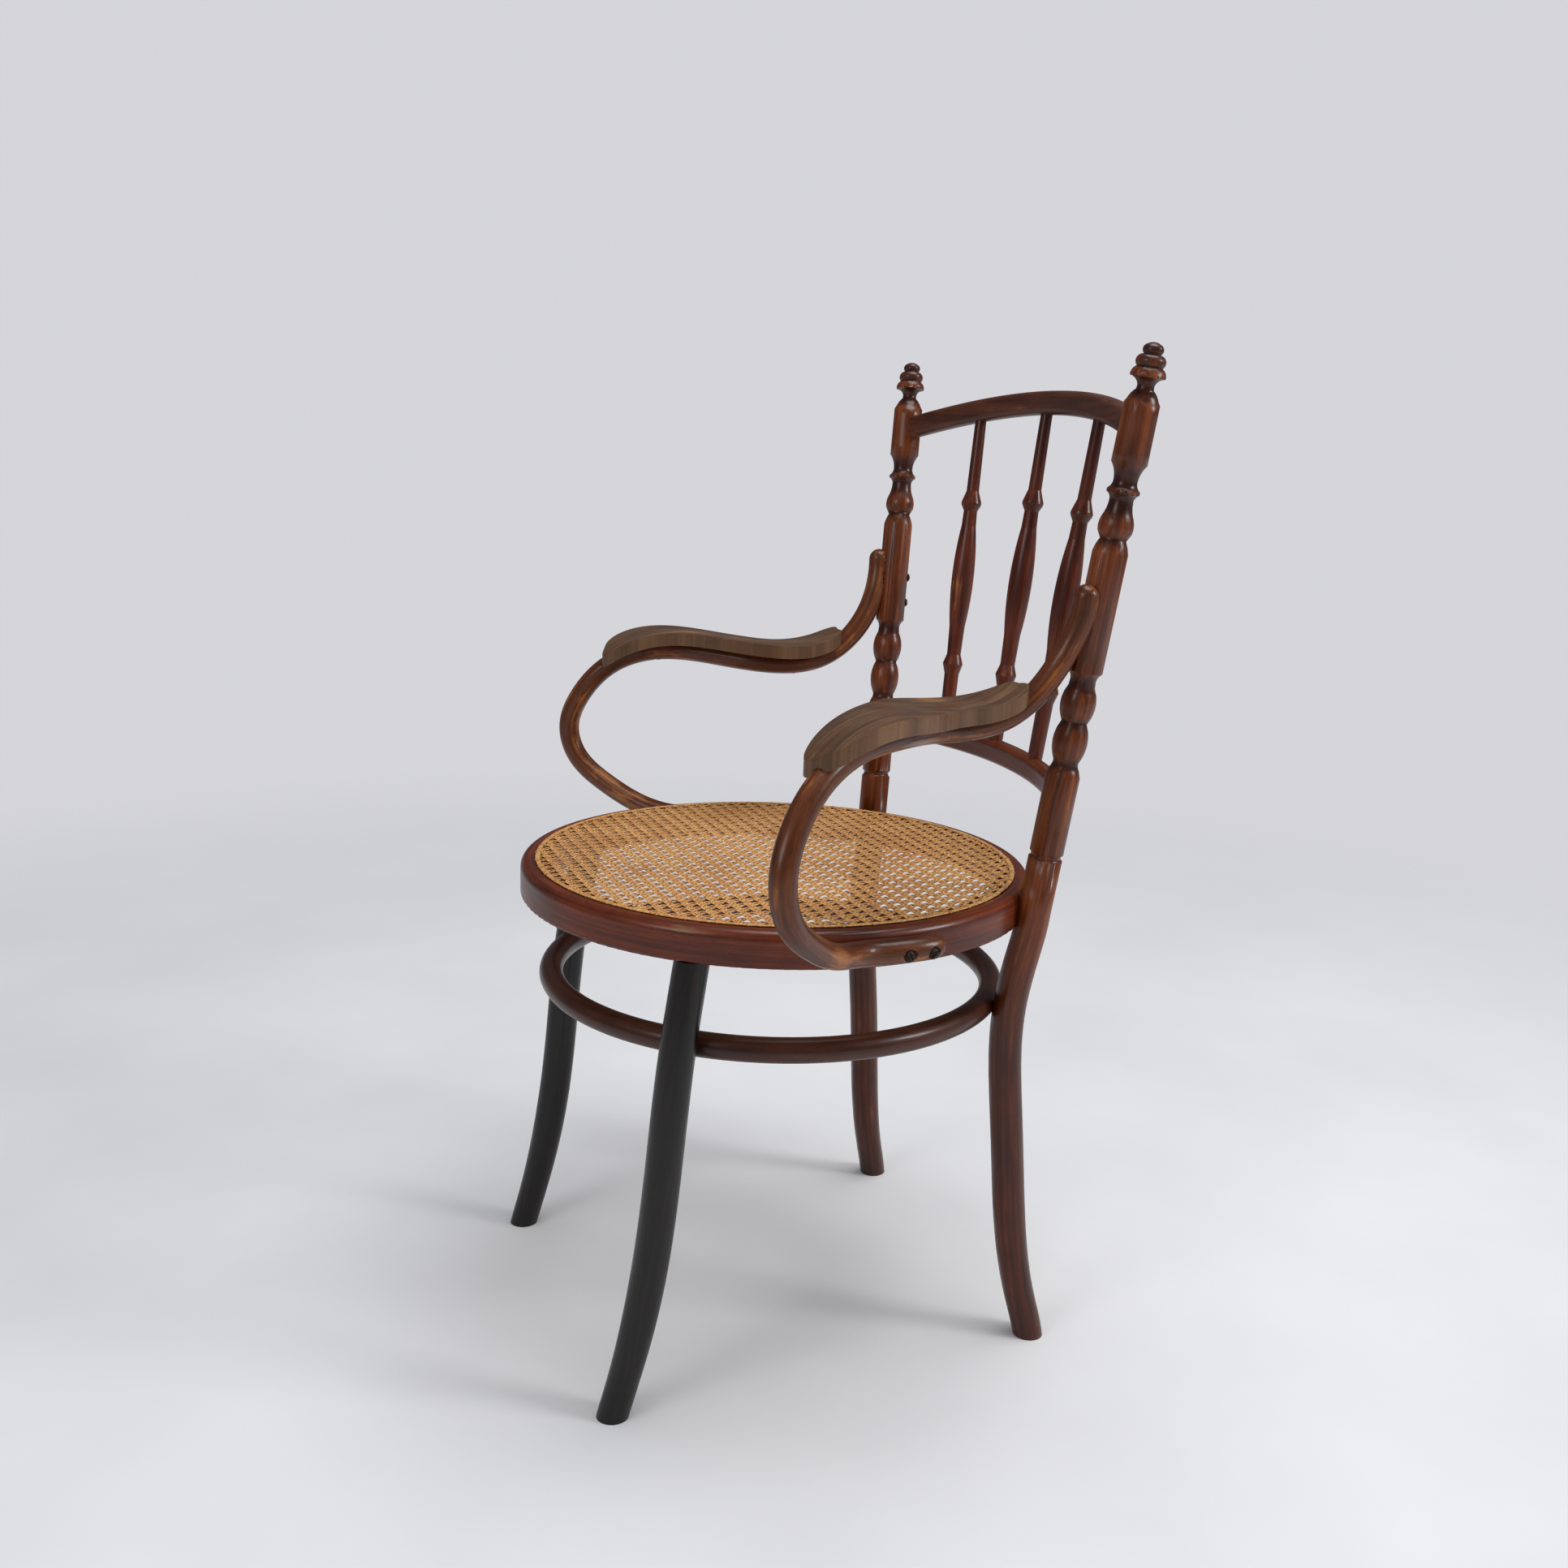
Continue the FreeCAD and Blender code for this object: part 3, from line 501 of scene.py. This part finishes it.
# %% Cut the slots
iron, tree = new_material("old_iron")
place = add(tree, "TexCoord").outputs["Object"]
rust = add(tree, "TexNoise", {"Vector": place, "Scale": 520.0, "Detail": 4.0}).outputs["Fac"]
tone = ramp(tree, rust, (0.35, paint(30, 26, 24)), (0.6, paint(62, 50, 42)), (0.75, paint(96, 66, 44)))
rough = add(tree, "MapRange", {"Value": rust, "To Min": 0.35, "To Max": 0.75}).outputs["Result"]
pits = add(tree, "Bump", {"Height": rust, "Strength": 0.3, "Distance": 0.0004}).outputs[0]
metal = add(tree, "BsdfPrincipled", {"Base Color": tone, "Roughness": rough, "Normal": pits, "Metallic": 0.8})
add(tree, "OutputMaterial", {"Surface": metal.outputs[0]})
blade_size = (0.0024, 0.0014, 0.0124)


def slotted(node, name, heads):
    piece = welded_copy(node, name)
    blades = []
    for spot, outward, turn in heads:
        deselect()
        bpy.ops.mesh.primitive_cube_add(size=1, location=(0, 0, 0))
        blade = bpy.context.object
        aim = Vector(outward).to_track_quat("X", "Z").to_matrix().to_4x4()
        blade.data.transform(Matrix.Translation(spot) @ aim @ Matrix.Rotation(turn, 4, "X")
                             @ Matrix.Diagonal((*blade_size, 1)))
        blades.append(blade)
    deselect()
    for blade in blades:
        blade.select_set(True)
    bpy.context.view_layer.objects.active = blades[0]
    bpy.ops.object.join()
    deselect()
    piece.select_set(True)
    bpy.context.view_layer.objects.active = piece
    cut = piece.modifiers.new("slots", "BOOLEAN")
    cut.operation = "DIFFERENCE"
    cut.solver = "EXACT"
    cut.object = blades[0]
    bpy.ops.object.modifier_apply(modifier=cut.name)
    bpy.data.objects.remove(blades[0])
    bpy.ops.object.shade_smooth_by_angle(angle=math.radians(35))
    piece.data.materials.append(iron)
    print(name, len(piece.data.polygons), "faces")
    return piece


rim_screw_height = 0.4077
rim_screw_radius = 0.2534
rim_heads = []
for side in (1, -1):
    for degrees, turn in ((4.2, 0.5), (9.3, -0.9)):
        angle = math.radians(degrees)
        way = Vector((side * math.cos(angle), math.sin(angle), 0))
        rim_heads.append((Vector((0, seat_middle, rim_screw_height)) + way * rim_screw_radius, way, turn))
slotted("arm_rim_screws", "slotted_rim_screws", rim_heads)
post_joint = Vector((0.1701, 0.1608, 0.41))
post_slope = Vector((0.0998, 0.0903, 1.0))
joint_below_seat_top = 0.0155
head_from_axis = 0.0173
post_heads = []
behind = math.radians(14)
for side in (1, -1):
    for rise, turn in ((0.2415, 0.4), (0.2155, 1.3)):
        climb = rise + joint_below_seat_top
        way = Vector((-side * math.sin(behind), math.cos(behind), 0))
        middle = post_joint + post_slope * climb
        middle.x *= side
        post_heads.append((middle + way * head_from_axis, way, turn))
slotted("arm_post_screws", "slotted_post_screws", post_heads)
for node in ("pad_screws", "seat_screws", "stretcher_screws"):
    finish(node, iron)

# %% [markdown]
# ## The cane
# The seat is woven by hand in six passes: two strands front to back, two side to side, and one along each
# diagonal. All strands go over and under each other, and octagonal holes stay open between them.
# A flat texture with holes would look wrong from close by, so the strands are real. One short cell with two
# strands is modelled by extruding a flat hexagon, up over one neighbour and down under the next. Array
# modifiers repeat it along the strand and then across the seat. Its ends are drawn in to the ring of holes.

# %% Size the cane
cane_pitch = 0.01265
cane_radius = 0.2172
strand_width = 0.00235
strand_thickness = 0.0008
strand_apart = 0.00262
weave_reach = 0.22
weave_height = 0.42525
print("holes round the seat:", round(2 * math.pi * cane_radius / cane_pitch))


# %% Model one layer of strands
def weave_layer(name, rises, apart, across, period, turn):
    strands = []
    half = int(weave_reach / period) + 1
    columns = int(weave_reach / across) + 1
    for sign, side in ((1, -0.5), (-1, 0.5)):
        deselect()
        start = -half * period - period / 2
        bpy.ops.mesh.primitive_circle_add(vertices=6, radius=0.5, location=(side * apart, start, 0),
                                          rotation=(math.pi / 2, 0, 0))
        strand = bpy.context.object
        bpy.ops.object.transform_apply(location=True, rotation=True, scale=True)
        bpy.ops.object.mode_set(mode="EDIT")
        bpy.ops.transform.resize(value=(strand_width, 1, strand_thickness), center_override=(side * apart, start, 0))
        bpy.ops.transform.translate(value=(0, 0, sign * rises[-1][1]))
        height = rises[-1][1]
        at = -period / 2
        for next_at, next_height in rises:
            bpy.ops.mesh.extrude_region_move(
                TRANSFORM_OT_translate={"value": (0, next_at - at, sign * (next_height - height))})
            at = next_at
            height = next_height
        bpy.ops.object.mode_set(mode="OBJECT")
        strands.append(strand)
    for strand in strands:
        strand.select_set(True)
    bpy.ops.object.join()
    layer = bpy.context.object
    layer.name = name
    layer.data.name = name
    for axis, step, count in ((1, period, 2 * half + 1), (0, across, 2 * columns + 1)):
        repeat = layer.modifiers.new("repeat", "ARRAY")
        repeat.count = count
        repeat.use_relative_offset = False
        repeat.use_constant_offset = True
        repeat.constant_offset_displace = (step if axis == 0 else 0, step if axis == 1 else 0, 0)
        repeat.use_merge_vertices = axis == 1
        repeat.merge_threshold = 0.00002
        bpy.ops.object.modifier_apply(modifier=repeat.name)
    trim_to_seat(layer, columns * across)
    layer.data.transform(Matrix.Translation((0, seat_middle, weave_height)) @ Matrix.Rotation(turn, 4, "Z"))
    bpy.ops.object.shade_smooth()
    layer.data.materials.append(cane_skin)
    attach(layer, "root")
    print(name, len(layer.data.polygons), "faces")
    return layer


def trim_to_seat(layer, shift):
    count = len(layer.data.vertices)
    places = np.empty(count * 3, np.float32)
    layer.data.vertices.foreach_get("co", places)
    places = places.reshape(-1, 3)
    places[:, 0] -= shift
    inside = np.clip(cane_radius ** 2 - places[:, 0] ** 2, 0, None) ** 0.5
    places[:, 1] = np.clip(places[:, 1], -inside, inside)
    layer.data.vertices.foreach_set("co", places.ravel())
    outside = np.abs(places[:, 0]) > cane_radius - 0.002
    layer.data.vertices.foreach_set("select", outside)
    layer.data.edges.foreach_set("select", np.zeros(len(layer.data.edges), bool))
    layer.data.polygons.foreach_set("select", np.zeros(len(layer.data.polygons), bool))
    bpy.ops.object.mode_set(mode="EDIT")
    bpy.ops.mesh.select_mode(type="VERT")
    bpy.ops.mesh.delete(type="VERT")
    bpy.ops.mesh.select_all(action="SELECT")
    bpy.ops.mesh.remove_doubles(threshold=0.00002)
    bpy.ops.mesh.dissolve_degenerate(threshold=0.00001)
    bpy.ops.mesh.select_all(action="SELECT")
    bpy.ops.mesh.fill_holes(sides=12)
    bpy.ops.mesh.normals_make_consistent(inside=False)
    bpy.ops.object.mode_set(mode="OBJECT")


# %% [markdown]
# ## The finish of the cane
# Cane is the glossy outer skin of rattan. It is golden, darker where old, and each strand has its own tone.
# A noise on Object coordinates gives broad patches, and a finer one gives the small change from strand to strand.

# %% Colour the cane
cane_skin, tree = new_material("golden_cane")
place = add(tree, "TexCoord").outputs["Object"]
broad = add(tree, "TexNoise", {"Vector": place, "Scale": 14.0, "Detail": 3.0}).outputs["Fac"]
fine = add(tree, "TexNoise", {"Vector": place, "Scale": 420.0, "Detail": 3.0}).outputs["Fac"]
tone = ramp(tree, fine, (0.3, paint(150, 98, 48)), (0.5, paint(196, 144, 84)), (0.72, paint(222, 178, 118)))
aged = ramp(tree, broad, (0.35, (0.82, 0.72, 0.62)), (0.6, (1, 1, 1)))
tone = blend(tree, 0.8, tone, aged, "MULTIPLY")
fibre = add(tree, "Bump", {"Height": fine, "Strength": 0.2, "Distance": 0.0003}).outputs[0]
skin = add(tree, "BsdfPrincipled", {"Base Color": tone, "Roughness": 0.38, "Normal": fibre})
add(tree, "OutputMaterial", {"Surface": skin.outputs[0]})
print("cane colour ready")

# %% Weave the seat
half_apart = strand_apart / 2
level = strand_thickness / 2
straight = [(-half_apart, -level), (half_apart, level), (cane_pitch / 2, 0)]
half_step = cane_pitch / math.sqrt(2)
flat_run = 0.0026
high = 2 * level
diagonal = [(-half_step / 2 - flat_run, -high), (-half_step / 2 + flat_run, -high), (half_step / 2 - flat_run, high),
            (half_step / 2 + flat_run, high), (half_step, 0)]
front_to_back = weave_layer("cane_front_to_back", straight, strand_apart, cane_pitch, cane_pitch, 0)
weave_layer("cane_side_to_side", straight, strand_apart, cane_pitch, cane_pitch, math.pi / 2)
weave_layer("cane_diagonal_one", diagonal, half_step, 2 * half_step, 2 * half_step, -math.pi / 4)
weave_layer("cane_diagonal_two", diagonal, half_step, 2 * half_step, 2 * half_step, math.pi / 4)
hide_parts("cane_web")

# %% [markdown]
# ## The binder
# A wider strip of cane covers the ring of holes. A thin strand comes up through every second hole, over the strip
# and down again, and ties it. The strip is a flattened torus. One tie is modelled as a small upright ring round
# the strip, and the spin tool with duplicates sets the others round the seat.

# %% Lay the binder and its ties
binder_radius = 0.2175
binder_height = 0.4263
tie_count = 54
deselect()
bpy.ops.mesh.primitive_torus_add(major_radius=binder_radius, minor_radius=0.0024, major_segments=216,
                                 minor_segments=8, location=(0, seat_middle, binder_height))
binder = bpy.context.object
binder.name = "binder_strip"
bpy.ops.object.transform_apply(location=True, rotation=True, scale=True)
bpy.ops.object.mode_set(mode="EDIT")
bpy.ops.transform.resize(value=(1, 1, 0.36), center_override=(0, seat_middle, binder_height))
bpy.ops.object.mode_set(mode="OBJECT")
deselect()
bpy.ops.mesh.primitive_torus_add(major_radius=0.0027, minor_radius=0.0004, major_segments=12, minor_segments=6,
                                 location=(binder_radius, seat_middle, binder_height), rotation=(math.pi / 2, 0, 0))
ties = bpy.context.object
ties.name = "binder_ties"
bpy.ops.object.transform_apply(location=True, rotation=True, scale=True)
bpy.ops.object.mode_set(mode="EDIT")
bpy.ops.transform.resize(value=(1, 2.6, 0.42), center_override=(binder_radius, seat_middle, binder_height))
bpy.ops.mesh.spin(steps=tie_count, dupli=True, angle=2 * math.pi, center=(0, seat_middle, 0), axis=(0, 0, 1))
bpy.ops.mesh.select_all(action="SELECT")
bpy.ops.mesh.remove_doubles(threshold=0.00001)
bpy.ops.object.mode_set(mode="OBJECT")
for piece in (binder, ties):
    deselect()
    piece.select_set(True)
    bpy.context.view_layer.objects.active = piece
    bpy.ops.object.shade_smooth()
    piece.data.materials.append(cane_skin)
    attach(piece, "root")
    print(piece.name, len(piece.data.polygons), "faces")
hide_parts("cane_binder")
